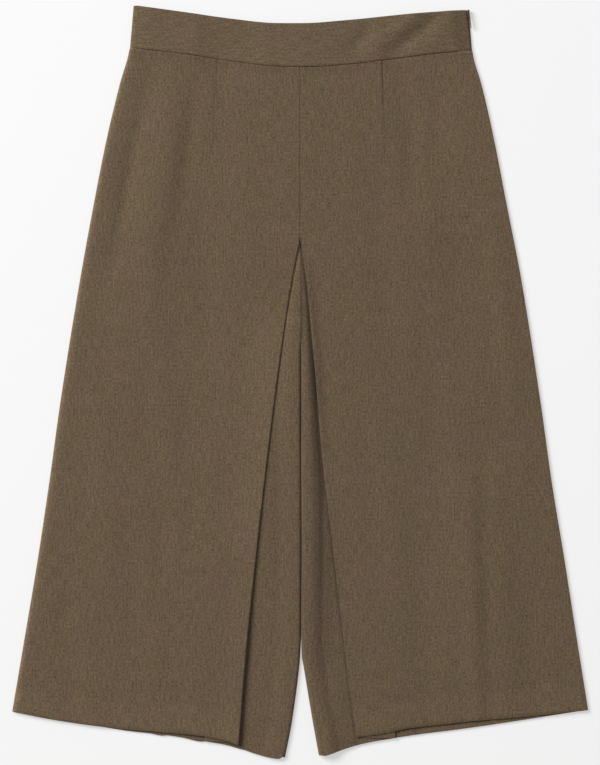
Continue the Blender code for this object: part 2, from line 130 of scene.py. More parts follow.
# %% [markdown]
# ## The pleat's folds
# An inverted pleat is two folds that meet at the centre front. These open from the bottom of the
# centre-front seam, by different amounts. "fold" is the visible fold, "edge" is the underlay's inner
# edge, and the hidden fold runs straight from waist to hem.

# %% Tables of the pleat
PLEAT = {
    -1: table("down fold edge", (
        (244, 0.15, 0.15), (299, 10.5, -0.45), (362, 20, -0.9), (456, 32.2, -0.95),
        (551, 43.2, -1.3), (656, 54.2, -0.8), (684, 56.7, 0.2), (708, 58.8, 2.6),
        (742, 61.4, 7.2), (755, 62.4, 9.2), (789, 65.6, 15.9),
    )),
    1: table("down fold edge", (
        (244, 0.15, 0.15), (299, 8.2, 0.85), (362, 13.9, 1.5), (467, 23, 1.65),
        (551, 32.6, 1.9), (656, 44.9, 1.4), (684, 48.2, 2.2), (692, 49.2, 3.7),
        (708, 51.3, 6.3), (755, 57.6, 14.2), (789, 62.3, 20.4),
    )),
}
INNER_FOLD_AT_WAIST = 24.0  # how far out the hidden fold lies
INNER_FOLD_AT_HEM = 100.0
print("the pleat opens", PLEAT[-1][0].down, "mm down")

# %% [markdown]
# ## Smooth curves through the tables
# A straight line between rows would put a corner in the side seam at each row, and a free spline
# can swing past a row. This cubic's slope at a row is the harmonic mean of the slopes beside it, so
# it never overshoots. numpy reads it for a whole grid of places at once.

# %% The curve reader
def read(rows, column, at):
    """A smooth curve through one named column, read against the table's first column."""
    keys = np.array([row[0] for row in rows], float)
    values = np.array([getattr(row, column) for row in rows], float)
    gaps = np.diff(keys)
    chords = np.diff(values) / gaps
    product = chords[:-1] * chords[1:]
    total = np.where(product > 0, chords[:-1] + chords[1:], 1.0)
    inner = np.where(product > 0, 2 * product / total, 0.0)
    slopes = np.concatenate([chords[:1], inner, chords[-1:]])
    at = np.clip(at, keys[0], keys[-1])
    i = np.clip(np.searchsorted(keys, at, side="right") - 1, 0, len(gaps) - 1)
    t = (at - keys[i]) / gaps[i]
    rise = t * t * (3 - 2 * t)
    bend = slopes[i] * t * (1 - t) ** 2 - slopes[i + 1] * t * t * (1 - t)
    return values[i] + (values[i + 1] - values[i]) * rise + gaps[i] * bend


def ease(value):
    """From 0 to 1, starting and ending softly."""
    t = np.clip(value, 0.0, 1.0)
    return t * t * (3 - 2 * t)


def mix(start, end, share):
    return start + (end - start) * share


def streak(offset, width):
    """One on a line, and falling softly to nothing beside it."""
    return np.exp(-((offset / width) ** 2))


def side_out(sign, down):
    """How far out the side seam runs."""
    return read(SIDE_SEAM, "right" if sign < 0 else "left", down)


print("width at the knee line:", round(float(side_out(-1, 500) + side_out(1, 500)), 1), "mm")

# %% [markdown]
# ## Soft folds
# Laid cloth is never quite flat. Each row is one trough or ridge seen in the photo: a line on the
# garment, how wide it is and how far it sinks or lifts. A Gaussian across the line and a sine along
# it make a crease with soft ends. A noise texture would give folds all alike that run nowhere.

# %% The creases, listed
CREASES = table("x down to_x to_down half_width height", (
    (-160, 66, -203, 300, 11, -2.3), (-122, 25, -165, 300, 25, 2.5),
    (-136, 120, -172, 420, 25, 1.6), (-105, 58, -133, 260, 13, -1.1),
    (-140, 470, -152, 650, 12, -0.6), (-196, 380, -205, 700, 34, 0.5),
    (-282, 657, -222, 622, 12, -1.1), (-118, 300, -122, 500, 26, -0.4),
    (112, 60, 122, 232, 14, -1.7), (137, 70, 141, 225, 20, -1), (170, 165, 180, 390, 28, -1.7),
    (204, 210, 228, 430, 15, 1), (60, 380, 92, 660, 13, -0.9), (179, 430, 189, 860, 11, 0.8),
    (190, 430, 202, 860, 12, -1), (182, 480, 192, 760, 42, 3), (90, 55, 160, 0, 10, -2.3),
    (66, 55, 136, 0, 13, 2), (46, 56, 76, 20, 10, -1.4), (-54, 8, -40, 64, 42, -1.8),
))
CREASE_FADE = 0.7  # how fully a crease holds its height along its length
CREASE_SHARPNESS = 1.4


def crease_height(x, down):
    total = np.zeros(np.broadcast(x, down).shape)
    for c in CREASES:
        run = np.array((c.to_x - c.x, c.to_down - c.down), float)
        length = np.hypot(*run)
        t = ((x - c.x) * run[0] + (down - c.down) * run[1]) / length**2
        aside = ((x - c.x) * run[1] - (down - c.down) * run[0]) / length / c.half_width
        fade = np.sin(np.pi * np.clip(t, 0, 1)) ** CREASE_FADE
        total += c.height * fade * np.exp(-aside * aside * CREASE_SHARPNESS)
    return total


print(len(CREASES), "creases, the highest", max(c.height for c in CREASES), "mm")

# %% [markdown]
# ## Levels of the layers
# Four layers lie on each other beside the pleat: back, underlay, return and upper front. Their
# levels are those of the solids, so the cloth sits where the collision is. Long low waves make the
# lay a little uneven, more calmly than noise would.

# %% Levels and the unevenness of the lay
UNDERLAY_LEVEL = 1.85
RETURN_LEVEL = 2.95
PLEAT_LEVEL = 4.7  # the upper layer over the pleat
SIDE_LEVEL = 3.6  # the same beyond it
SEAM_FOOT = 1.15  # where a rolled edge ends, just above the back
RIPPLES = table("length lean phase height", (
    (61.0, 0.06, 0.4, 0.22), (37.0, -0.11, 1.9, 0.14), (23.0, 0.17, 4.1, 0.06),
    (93.0, 1.3, 2.6, 0.20), (47.0, 1.7, 5.2, 0.08),
))


def ripple_height(x, down):
    """Slight unevenness in the lay: long waves, mostly along the grain."""
    total = np.zeros(np.broadcast(x, down).shape)
    for r in RIPPLES:
        across = x * math.cos(r.lean) + down * math.sin(r.lean)
        total += r.height * np.sin(2 * np.pi * across / r.length + r.phase)
    return total


print("unevenness of up to", round(sum(r.height for r in RIPPLES), 2), "mm")

# %% [markdown]
# ## The upper layer's height
# Beyond the pleat the upper layer comes down to the back. A pressed fold springs up a little where
# it opens. Soft creases die out near the sewn side seam and over the pleat, whose layers hold each
# other flat. One formula for the height keeps all of this in step.

# %% Height of the upper layer
PLEAT_RAMP = 55.0  # the upper layer comes down over this width
RAMP_FROM = 2.0  # outside the hidden fold
SIDE_CALM = 40.0  # creases die out this near the side seam
PLEAT_STIFFNESS = 0.6  # how much the pleat's layers flatten creases
LIFT_FROM = 8.0  # above the pleat's opening
LIFT_RUN = 50.0
FOLD_LIFT_WIDTH = {-1: 16.0, 1: 6.0}
FOLD_LIFT = {
    -1: table("down height", (
        (244, -0.7), (362, -0.7), (467, -0.5), (577, 0.4), (690, 2.3), (776, 2.3),
    )),
    1: table("down height", (
        (244, 0), (285, 1.5), (362, 2.2), (430, 1.8), (490, 0.3), (776, 0.2),
    )),
}


def inner_fold(down):
    """How far out the hidden fold lies."""
    span = SIDE_HEM_DOWN - WAIST[0].seam
    return mix(INNER_FOLD_AT_WAIST, INNER_FOLD_AT_HEM, np.clip((down - WAIST[0].seam) / span, 0, 1))


def fold_lift(x, down):
    """The pressed folds stand up a little where they open."""
    fold = np.where(x < 0, read(PLEAT[-1], "fold", down), read(PLEAT[1], "fold", down))
    height = np.where(x < 0, read(FOLD_LIFT[-1], "height", down), read(FOLD_LIFT[1], "height", down))
    width = np.where(x < 0, FOLD_LIFT_WIDTH[-1], FOLD_LIFT_WIDTH[1])
    opened = ease((down - PLEAT[1][0].down + LIFT_FROM) / LIFT_RUN)
    return height * streak(np.abs(x) - fold, width) * opened


def upper_level(x, down):
    out = np.abs(x)
    over_pleat = 1 - ease((out - inner_fold(down) - RAMP_FROM) / PLEAT_RAMP)
    side = np.where(x < 0, side_out(-1, down), side_out(1, down))
    room = ease((side - out) / SIDE_CALM)
    soft = room * (crease_height(x, down) + ripple_height(x, down))
    base = mix(SIDE_LEVEL, PLEAT_LEVEL, over_pleat)
    return base + soft * (1 - PLEAT_STIFFNESS * over_pleat) + fold_lift(x, down)


print("upper layer beside the right fold:", round(float(upper_level(-60.0, 700.0)), 2), "mm up")

# %% [markdown]
# ## Sewn lines
# Darts, seams and the turned-up hem show as very low relief. A dart's intake is pressed towards the
# centre, so the centre side stands up and drops at the line: the photo's right dart is a crisp dark
# line, and the left one, which faces the light, is faint. The hem's turn-up thickens the last three
# centimetres, and its edge is a rounded fold.

# %% Relief of darts, seams and hem
Dart = namedtuple("Dart", "x down to_x to_down")
DARTS = (Dart(-86.5, 56, -91.5, 141), Dart(86.0, 58, 88.5, 150))
DART_STEP = 0.45
DART_GROOVE = 0.3
DART_REACH = 13.0  # width of the intake under the cloth
DART_LINE = 0.8
DART_FADE = 0.6
ABOVE_DART = -0.2  # a dart runs on into the band's seam by this share
SEAM_DIP = 0.4
SEAM_DIP_WIDTH = 1.2
PUCKER = 0.10  # height of the pull marks that stitching leaves under the band
PUCKER_REACH = 9.0
PUCKER_WAVE = 1.9
PUCKER_DRIFT = 31.0  # their spacing swings over this length
HEM_STEP = 0.35
HEM_STEP_RUN = 7.0
HEM_ROUND = 0.45  # the hem's fold drops at its very edge
HEM_ROUND_WIDTH = 1.1
HEM_SINK = 0.5  # and sinks over its last few millimetres
HEM_SINK_RUN = 4.0


def along_dart(dart, down):
    """The share of the dart's length, and x of its line."""
    t = (down - dart.down) / (dart.to_down - dart.down)
    return t, mix(dart.x, dart.to_x, t)


def dart_relief(x, down):
    total = np.zeros(np.broadcast(x, down).shape)
    for dart in DARTS:
        t, line = along_dart(dart, down)
        aside = (x - line) * np.sign(dart.x)
        depth = np.clip(1 - t, 0, 1) ** DART_FADE * (t > ABOVE_DART)
        step = (1 - ease(aside / DART_LINE + 0.5)) * streak(np.minimum(aside, 0), DART_REACH)
        total += depth * (DART_STEP * step - DART_GROOVE * streak(aside, DART_LINE))
    return total


def sewn_relief(x, down, hem):
    """Relief of the upper front layer near its seams."""
    from_seam = down - read(WAIST, "seam", x)
    dip = SEAM_DIP * streak(from_seam, SEAM_DIP_WIDTH)
    pucker = PUCKER * np.sin(x / PUCKER_WAVE + 2 * np.sin(x / PUCKER_DRIFT))
    pucker = pucker * np.exp(-from_seam / PUCKER_REACH)
    above_hem = hem - down
    turned = HEM_STEP * ease((HEM_TURN - above_hem) / HEM_STEP_RUN)
    rounded = HEM_ROUND * streak(above_hem, HEM_ROUND_WIDTH)
    rounded = rounded + HEM_SINK * (1 - ease(above_hem / HEM_SINK_RUN))
    return dart_relief(x, down) - dip + pucker + turned - rounded


print("dart lengths:", [dart.to_down - dart.down for dart in DARTS], "mm")

# %% [markdown]
# ## Painted shade of the sewn lines
# A ditch of half a millimetre is finer than the cloth's cells, so the shade in it is painted, and so
# is the band's shadow on the legs; the underlay gets painted shade and painted light as well. A
# painted image could hold them, but here each point of the cloth keeps one number: above zero the
# material darkens the suiting there, and below zero it lightens it.

# %% Painted shade and light of darts, waist seam, hem and underlay
# painted shade in the darts' ditches, which are too fine to shade themselves
DITCH_WIDTH = 0.75
DITCH_END = 1.15  # in dart lengths
SEAM_SHADE = -0.9  # painted light on the line itself, which is dark enough from its depth
SEAM_SHADOW_BELOW = 0.3  # painted shadow of the band on the leg under it
SEAM_FADES = 0.85  # this share of the seam's shade is gone on the wearer's left
SEAM_RETURNS = 0.9  # and this much comes back at the band's very end
HEM_LIGHT = 0.16
# painted shade above zero and painted light below zero, on stretches of the underlay
UNDERLAY_PAINTED_SHADE_AND_LIGHT = table("x down to_down half_width amount", (
    (28.5, 540, 695, 8, 0.42), (28.5, 695, 800, 8, -0.40), (-24.0, 430, 670, 9, 0.20),
))


def sewn_shade(x, down, hem):
    """Painted shade in darts and under the waist seam, painted light on its line, lighter at the doubled
    hem.
    """
    total = np.zeros(np.broadcast(x, down).shape)
    for dart in DARTS:
        t, line = along_dart(dart, down)
        total += np.clip(DITCH_END - t, 0, 1) ** 0.5 * (t > ABOVE_DART) * streak(x - line, DITCH_WIDTH)
    from_seam = down - read(WAIST, "seam", x)
    to_left = 1 - SEAM_FADES * ease((x - 60) / 60) + SEAM_RETURNS * ease((x - 162) / 8)
    total += SEAM_SHADE * streak(from_seam - 0.4, 1.2) * to_left
    total += SEAM_SHADOW_BELOW * streak(from_seam, 8) * to_left
    return total - HEM_LIGHT * ease((HEM_TURN - 2 - (hem - down)) / 6)


def underlay_shade(x, down):
    """Painted shade and painted light on stretches of the underlay between its crest and the fold."""
    total = np.zeros(np.broadcast(x, down).shape)
    for painted_patch in UNDERLAY_PAINTED_SHADE_AND_LIGHT:
        t = np.clip((down - painted_patch.down) / (painted_patch.to_down - painted_patch.down), 0, 1)
        total += painted_patch.amount * np.sqrt(np.sin(np.pi * t)) * streak(x - painted_patch.x, painted_patch.half_width)
    return total


print(len(DARTS), "darts and", len(UNDERLAY_PAINTED_SHADE_AND_LIGHT), "stretches of underlay shaded")

# %% [markdown]
# ## From a folded section to a cloth
# A front leg with its pleat is one cloth folded in a Z. At every station down the leg its section
# runs from the side seam over the top to the visible fold, back under itself to the hidden fold,
# and forward again as the underlay. Three separate layers would be quicker, but then the fold would
# be a cut edge. The tables move the section's folds from station to station.

# %% Places down a panel, and where its folds lie
EDGES_APART = 0.03  # between the two legs' inner edges where they touch
EDGE_PRESS = 0.3


def panel_down(sign, out, share, hem):
    """Down the garment at a share of a panel's length."""
    seam = read(WAIST, "seam", sign * out) + SEAM_GAP
    seam_side = read(WAIST, "seam", sign * side_out(sign, 0)) + SEAM_GAP
    level = mix(seam_side, SIDE_HEM_DOWN, share)
    return level + (seam - seam_side) * (1 - share) ** 2 + (hem - SIDE_HEM_DOWN) * share**2


def front_down(sign, out, share, layer):
    """The same for a front leg, where layer runs from 0, the upper layer, to 1, the underlay."""
    front = read(HEM[sign], "front", out)
    under = read(UNDERLAY[sign], "hem", out)
    return panel_down(sign, out, share, mix(front, under, layer))


def inner_edge(sign, down):
    """A leg's inner edge, pressed against the other leg's where the two touch."""
    own, other = read(PLEAT[sign], "edge", down), read(PLEAT[-sign], "edge", down)
    return own - np.clip((own + other) / 2 - EDGES_APART, 0, EDGE_PRESS)


def feature(sign, column, share, layer):
    """Where the fold or the inner edge lies at each station, which four rounds settle."""
    out = np.zeros_like(share)
    for _ in range(4):
        out = read(PLEAT[sign], column, front_down(sign, out, share, layer))
    return out


print("the underlay's hem at the centre:", round(float(front_down(-1, 18.0, 1.0, 1.0)), 1), "mm down")

# %% [markdown]
# ## The underlay's crest
# The underlay rises beside its inner edge into a soft crest and falls away towards the fold, more
# on the wearer's left. A rise, a skewed fall and a flatter tail follow the photo's light and dark
# bands, where a plain bell curve is too even.

# %% Level of the underlay
Crest = namedtuple("Crest", "height slope start fall tail")
CREST = {-1: Crest(2.4, 0.15, 5.0, 22.0, 0.0), 1: Crest(7.2, 0.36, 5.5, 18.5, 0.33)}
CREST_FROM = 2.0  # the least that shows before the crest rises
CREST_SKEW = 1.5
CREST_SINKS = 0.3  # by this share, where much of the underlay shows
WIDE_UNDERLAY = (26.0, 50.0)
TAIL_FROM = 0.7  # of the steep fall
TAIL_NEEDS = 10.0


def underlay_level(sign, out, fold, edge):
    crest = CREST[sign]
    shows = np.maximum(fold - CLOTH / 2 - edge, 0.05)
    low, high = WIDE_UNDERLAY
    sunk = 1 - CREST_SINKS * ease((shows - low) / (high - low))
    height = np.minimum(crest.height, crest.slope * np.maximum(shows - CREST_FROM, 0)) * sunk
    start = np.minimum(crest.start, shows * 0.3)
    width = np.minimum(crest.fall, shows - start)
    fallen = ease(np.clip((out - edge - start) / width, 0, 1) ** CREST_SKEW)
    knee = start + width * TAIL_FROM
    onward = np.clip((out - edge - knee) / (shows - knee), 0, 1)
    tail = crest.tail * ease((shows - knee) / TAIL_NEEDS)
    return UNDERLAY_LEVEL + height * (1 - mix(fallen, onward, tail))


print("crests:", {sign: crest.height for sign, crest in CREST.items()}, "mm above the underlay")

# %% [markdown]
# ## The stations and the cells
# Rows are closer at the waist seam and the hem, where the cloth bends over, and columns are closer
# along the dart and round the folds. The grid keeps its cells where the shape needs them.

# %% Rows and columns of a panel
def panel_rows(end_rows, middle_rows):
    """Shares of a panel's length, closer at both ends."""
    end = 0.012
    ends = np.linspace(0, end, end_rows)[:-1]
    return np.concatenate([ends, np.linspace(end, 1 - end, middle_rows), (1 - ends)[::-1]])


def upper_parts():
    """Shares of the way from the side seam to the fold, closer round the dart."""
    side = np.linspace(0, 0.44, 44, endpoint=False)
    dart = np.linspace(0.44, 0.54, 34, endpoint=False)
    front = np.linspace(0.54, 0.96, 40, endpoint=False)
    fold = np.linspace(0.96, 1.0, 10)
    return np.concatenate([side, dart, front, fold])


print(len(panel_rows(9, 190)), "rows and", len(upper_parts()), "columns in a front leg's upper layer")

# %% [markdown]
# ## The section's upper strips
# Three strips make the part seen from above: the edge that rolls down to the side seam, the upper
# layer, and the turn of the visible fold, pressed to a flattened half circle. Each strip says how
# far out, how high and which layer.

# %% Side seam, upper layer and visible fold
FOLD_PRESS = 0.4  # how much flatter than round the fold's turn is


def upper_strips(sign, v, fold, half):
    side_down = front_down(sign, side_out(sign, SIDE_HEM_DOWN), v, 0)
    side = side_out(sign, side_down) - CLOTH / 2
    turn = np.radians(np.linspace(0, 90, 8, endpoint=False))
    top = upper_level(sign * (side - EDGE_ROLL), side_down)
    roll = (side - EDGE_ROLL * (1 - np.cos(turn)), mix(SEAM_FOOT, top, np.sin(turn)), 0.0)

    out = mix(side - EDGE_ROLL, fold + FOLD_PRESS * half, upper_parts())
    down = front_down(sign, out, v, 0)
    hem = read(HEM[sign], "front", out)
    level = upper_level(sign * out, down) + sewn_relief(sign * out, down, hem)

    turn = np.pi * np.linspace(0, 1, 12)[1:-1]
    arc = (level[:, -1:] - RETURN_LEVEL) / 2
    press = half * (1 - FOLD_PRESS * np.sin(turn))
    turned = (fold + press - (1 - FOLD_PRESS) * half, RETURN_LEVEL + arc * (1 + np.cos(turn)), 0.0)
    return [roll, (out, level, 0.0), turned]


print("the visible fold is pressed to", 1 - FOLD_PRESS, "of its round depth")

# %% [markdown]
# ## The section's lower strips
# The cloth goes back under itself to the hidden fold, turns, and comes forward as the underlay. Its
# inner edge rolls down to the inseam below the crotch. Above the crotch the two underlays are sewn
# to each other, so the edge stays level.

# %% Return, hidden fold, underlay and inner edge
CROTCH_DOWN = 330.0
CROTCH_RUN = 45.0  # the inner edge rolls down over this length


def lower_strips(sign, v, fold, half):
    inner = inner_fold(front_down(sign, fold, v, 0))
    half_in = (RETURN_LEVEL - UNDERLAY_LEVEL) / 2
    part = np.linspace(0, 1, 9)
    back = mix(fold + FOLD_PRESS * half, inner - half_in, part)

    turn = np.pi * np.linspace(0, 1, 10)[1:-1]
    bend = inner - half_in * (1 - np.sin(turn))
    bend_level = UNDERLAY_LEVEL + half_in * (1 + np.cos(turn))

    edge = inner_edge(sign, front_down(sign, feature(sign, "edge", v, 1), v, 1))
    rolled = ease((front_down(sign, 0.0, v, 1) - CROTCH_DOWN) / CROTCH_RUN)
    end = edge + rolled * CLOTH / 2
    hidden = mix(inner - half_in, np.maximum(fold, end + EDGE_ROLL + 1), np.linspace(0, 1, 8))
    seen = mix(hidden[:, -1:], end + EDGE_ROLL, np.linspace(0, 1, 40)[1:])
    under = np.concatenate([hidden, seen], axis=1)

    turn = np.radians(np.linspace(0, 90, 9)[1:])
    roll = end + EDGE_ROLL * (1 - np.sin(turn))
    level = underlay_level(sign, roll, fold, edge)
    foot = mix(level, SEAM_FOOT, 1 - np.cos(turn))
    return [
        (back, RETURN_LEVEL, part),
        (bend, bend_level, 1.0),
        (under, underlay_level(sign, under, fold, edge), 1.0),
        (roll, mix(level, foot, rolled), 1.0),
    ]


print("the inner edges part below", CROTCH_DOWN, "mm")

# %% [markdown]
# ## Steps that every piece takes
# No cut or cast edge is sharp, so each piece ends with a small bevel. A bevel modifier rounds just
# the edges that are sharper than an angle, and leaves the shape below it plain.

# %% Helpers that make a piece
ROUND_EDGE = 0.25


def add_object(name, data):
    made = bpy.data.objects.new(name, data)
    bpy.context.scene.collection.objects.link(made)
    return made


def new_piece(name, shape, smooth=True):
    """An object made of a finished bmesh."""
    mesh = bpy.data.meshes.new(name)
    shape.to_mesh(mesh)
    shape.free()
    if smooth:
        mesh.shade_smooth()
    return add_object(name, mesh)


def set_all(target, **settings):
    for key, value in settings.items():
        setattr(target, key, value)


def modify(piece, name, kind, **settings):
    set_all(piece.modifiers.new(name, kind), **settings)


def round_edges(piece, width, segments, sharper_than):
    modify(piece, "rounded edge", "BEVEL", width=width * MM, segments=segments,
           limit_method="ANGLE", angle_limit=math.radians(sharper_than), harden_normals=True)


def join(strips):
    """Strips of a grid, put side by side."""
    full = [np.broadcast_arrays(*strip) for strip in strips]
    return [np.concatenate(part, axis=1) for part in zip(*full)]


print("edges are rounded by", ROUND_EDGE, "mm where nothing else is said")

# %% [markdown]
# ## A grid becomes a piece of cloth
# A flat grid is made once and its points are moved, which keeps faces and UVs regular. The UV map
# called grain holds the cloth's own metres along the weft and the warp, unrolled round the folds,
# so that the weave runs on over them. Solidify gives the thin wall.

# %% Make a cloth object
def cloth_object(name, x, down, level, grain_across, grain_down, wall, round_edge=ROUND_EDGE, shade=None):
    rows, columns = x.shape
    shape = bmesh.new()
    bmesh.ops.create_grid(shape, x_segments=columns - 1, y_segments=rows - 1, size=1.0)
    place = np.stack([x, WAIST_LEVEL - down, level], axis=-1) * MM
    grain = np.stack([grain_across, grain_down], axis=-1) * MM
    layer = shape.loops.layers.uv.new("grain")
    # each point keeps its painted shade: above zero it darkens the cloth, below zero it lightens it
    dark = shape.verts.layers.float.new("shade")
    index = {}
    for vert in shape.verts:
        column = round((vert.co.x + 1) / 2 * (columns - 1))
        row = round((vert.co.y + 1) / 2 * (rows - 1))
        index[vert] = (row, column)
    for face in shape.faces:
        for loop in face.loops:
            loop[layer].uv = grain[index[loop.vert]]
    for vert, at in index.items():
        vert.co = place[at]
        vert[dark] = 0.0 if shade is None else float(shade[at])
    piece = new_piece(name, shape)
    modify(piece, "wall", "SOLIDIFY", thickness=wall * MM, offset=0.0, use_even_offset=True)
    round_edges(piece, round_edge, segments=2, sharper_than=60)
    area = sum(face.area for face in piece.data.polygons)
    print(f"{name}: {rows} x {columns} points, {area:.3f} m2 of cloth")
    return piece


print("a cloth's wall is centred on its grid")

# %% [markdown]
# ## Painted shade and light of a front leg's folds
# The pleat's lines vary along their length: faint at the top, where the cloth is stretched flat,
# dark where a fold stands up, and lighter where it turns to the light. The stored shade paints this
# shade and light on: short tables of tones give each painted line its run, and a point's strip says
# which layer it is on.

# %% Painted shade and light along the folds, the inner edge and the rims
RIM_PAINTED_LIGHT = {-1: 0.9, 1: 3.0}  # painted highlight on the side seams' rolled edges
RIM_WIDTH = {-1: 6.0, 1: 2.2}
CENTRE_SHADE = 0.6  # painted shade along the sewn part of the centre-front seam
CENTRE_WIDTH = 0.9
OPENS_OVER = 30.0
# painted shade above zero and painted light below zero, where the two underlays meet
CENTRE_LINE_SHADE_AND_LIGHT = table("down amount", (
    (295, 0), (320, 0.5), (345, 0.8), (362, -1.1), (383, -1.9), (435, -0.6), (477, -2.6),
    (519, -2.3), (582, 0), (645, -0.5), (700, 0),
))
CENTRE_LINE_WIDTH = 1.1
# painted light in the shadow beside the wearer's right fold
RIGHT_DITCH_PAINTED_LIGHT = table("down amount", (
    (244, -2.4), (340, -2.2), (390, -1.4), (430, -0.9), (600, -0.5), (700, 0),
))
# painted shade along the wearer's left fold, which faces the light
LEFT_FOLD_PAINTED_SHADE = table("down amount", (
    (244, 0), (325, 0.1), (360, 0.9), (383, 2.0), (404, 2.0), (440, 0.6), (480, 0.3), (580, 0.9),
    (700, 0.7),
))
Trace = namedtuple("Trace", "off width")  # how far outside the fold a line lies
FOLD_SIDE_TRACE = Trace(12, 24)
RIGHT_DITCH_TRACE = Trace(-1.0, 1.4)
LEFT_FOLD_SHADE_TRACE = Trace(-0.4, 1.3)
APEX_EDGE_TRACE = Trace(0.3, 0.9)
Fade = namedtuple("Fade", "start rise end fall")
# painted light on the upper layer beside the right fold
FOLD_SIDE = Fade(290, 60, 620, 90)
FOLD_SIDE_LIGHT = 0.42
# painted light in the dark V at the pleat's apex
APEX = Fade(237, 6, 285, 30)
APEX_LIGHT = 1.3
# painted shade on the left fold's edge near the apex, which faces the light
APEX_EDGE = Fade(240, 8, 335, 30)
APEX_EDGE_SHADE = 0.9
# painted shade beside the left leg's inner edge, which rolls towards the light
INSEAM_SHADE = 0.9
INSEAM_WIDTH = 3.0


def traced(from_fold, trace):
    return streak(from_fold - trace.off, trace.width)


def faded(at, fade):
    return ease((at - fade.start) / fade.rise) * ease((fade.end - at) / fade.fall)


def right_fold_shade(out, down, fold, top, turned, under):
    """Painted light beside the fold, in its ditch, which the light throws into shadow, and at the apex.
    """
    beside = traced(out - fold, FOLD_SIDE_TRACE) * faded(down, FOLD_SIDE)
    ditch = traced(out - fold, RIGHT_DITCH_TRACE) * ease((down - PLEAT[-1][0].down + 8) / 8)
    inside = read(RIGHT_DITCH_PAINTED_LIGHT, "amount", down) * ditch - APEX_LIGHT * faded(down, APEX)
    return inside * (under | turned) - FOLD_SIDE_LIGHT * beside * top


def left_fold_shade(out, down, fold, top, turned, under):
    """Painted shade along the fold and its apex edge, which face the light, and beside the inseam."""
    press = traced(out - fold, LEFT_FOLD_SHADE_TRACE) * read(LEFT_FOLD_PAINTED_SHADE, "amount", down)
    facing = traced(out - fold, APEX_EDGE_TRACE) * faded(down, APEX_EDGE)
    inseam = streak(out - inner_edge(1, down), INSEAM_WIDTH) * ease((690 - down) / 60)
    total = press * (top | turned | under) + APEX_EDGE_SHADE * facing * (top | turned)
    return total + INSEAM_SHADE * inseam * under


# painted shade and painted light of a front leg, from all of its lines
def leg_shade(sign, out, down, fold, strip):
    top, turned, under = strip < 2, strip == 2, strip > 4
    total = sewn_shade(sign * out, down, read(HEM[sign], "front", out)) * top
    total -= RIM_PAINTED_LIGHT[sign] * streak(side_out(sign, down) - out, RIM_WIDTH[sign]) * top
    total += underlay_shade(sign * out, down) * under
    opens = ease((down - PLEAT[sign][0].down) / OPENS_OVER)
    total += CENTRE_SHADE * streak(out, CENTRE_WIDTH) * (1 - opens)
    line = streak(out - inner_edge(sign, down), CENTRE_LINE_WIDTH)
    total += read(CENTRE_LINE_SHADE_AND_LIGHT, "amount", down) * line * under
    side_shade = right_fold_shade if sign < 0 else left_fold_shade
    return total + side_shade(out, down, fold, top, turned, under)


print("tones of three lines:", len(CENTRE_LINE_SHADE_AND_LIGHT), len(RIGHT_DITCH_PAINTED_LIGHT), len(LEFT_FOLD_PAINTED_SHADE))

# %% [markdown]
# ## Front legs
# Each front leg is cut in one with its half of the pleat. Its seven strips are put side by side,
# and the grain is the length walked along the section, so the weave isn't stretched at a fold.

# %% Front legs
OPEN_CLOSE = 0.1  # the fold's turn stays this far inside its line where the pleat is open
SEWN_CLOSE = 0.4  # and this far where it is sewn


def front_leg(name, sign):
    v = panel_rows(9, 190)[:, None]
    fold_line = feature(sign, "fold", v, 0)
    sewn = 1 - ease((front_down(sign, 0.0, v, 0) - PLEAT[sign][0].down + 8) / 30)
    fold = fold_line + CLOTH / 2 - mix(OPEN_CLOSE, SEWN_CLOSE, sewn)
    half = (upper_level(sign * fold, front_down(sign, fold, v, 0)) - RETURN_LEVEL) / 2
    strips = upper_strips(sign, v, fold, half) + lower_strips(sign, v, fold, half)
    out, level, layer = join(strips)
    down = front_down(sign, out, v, layer)
    step = np.hypot(np.diff(out, axis=1), np.diff(level, axis=1))
    grain = np.concatenate([out[:, :1], out[:, :1] - np.cumsum(step, axis=1)], axis=1)
    strip = np.repeat(np.arange(len(strips)), [s[0].shape[1] for s in strips])
    shade = leg_shade(sign, out, down, fold_line, strip)
    return cloth_object(name, sign * out, down, level, sign * grain, down, CLOTH, shade=shade)


front_right = front_leg("front_leg_right_cloth", -1)
front_left = front_leg("front_leg_left_cloth", 1)

# %% [markdown]
# ## Back legs
# The back lies flat on the floor and shows as a sliver along the hem, or when the part is turned
# over. Its two darts and its waist seam are pressed flat, so they only sink a few tenths of a
# millimetre into the cloth.

# %% Back legs
BACK_DARTS = {-1: Dart(-78.0, 56, -82.0, 172), 1: Dart(78.0, 56, 82.0, 172)}
BACK_DIMPLE = 0.3
BACK_DART_LINE = 0.9
TURN_LINE = 1.5  # the hem's turn-up ends in a line of this half width
TURN_DIMPLE = 0.35  # and of this share of the dimple
UNDERLAP = 0.12  # the right back leg lies this far under the left one's edge
HEM_LOFT = 0.9  # the back's hem lifts off the floor beside the pleat


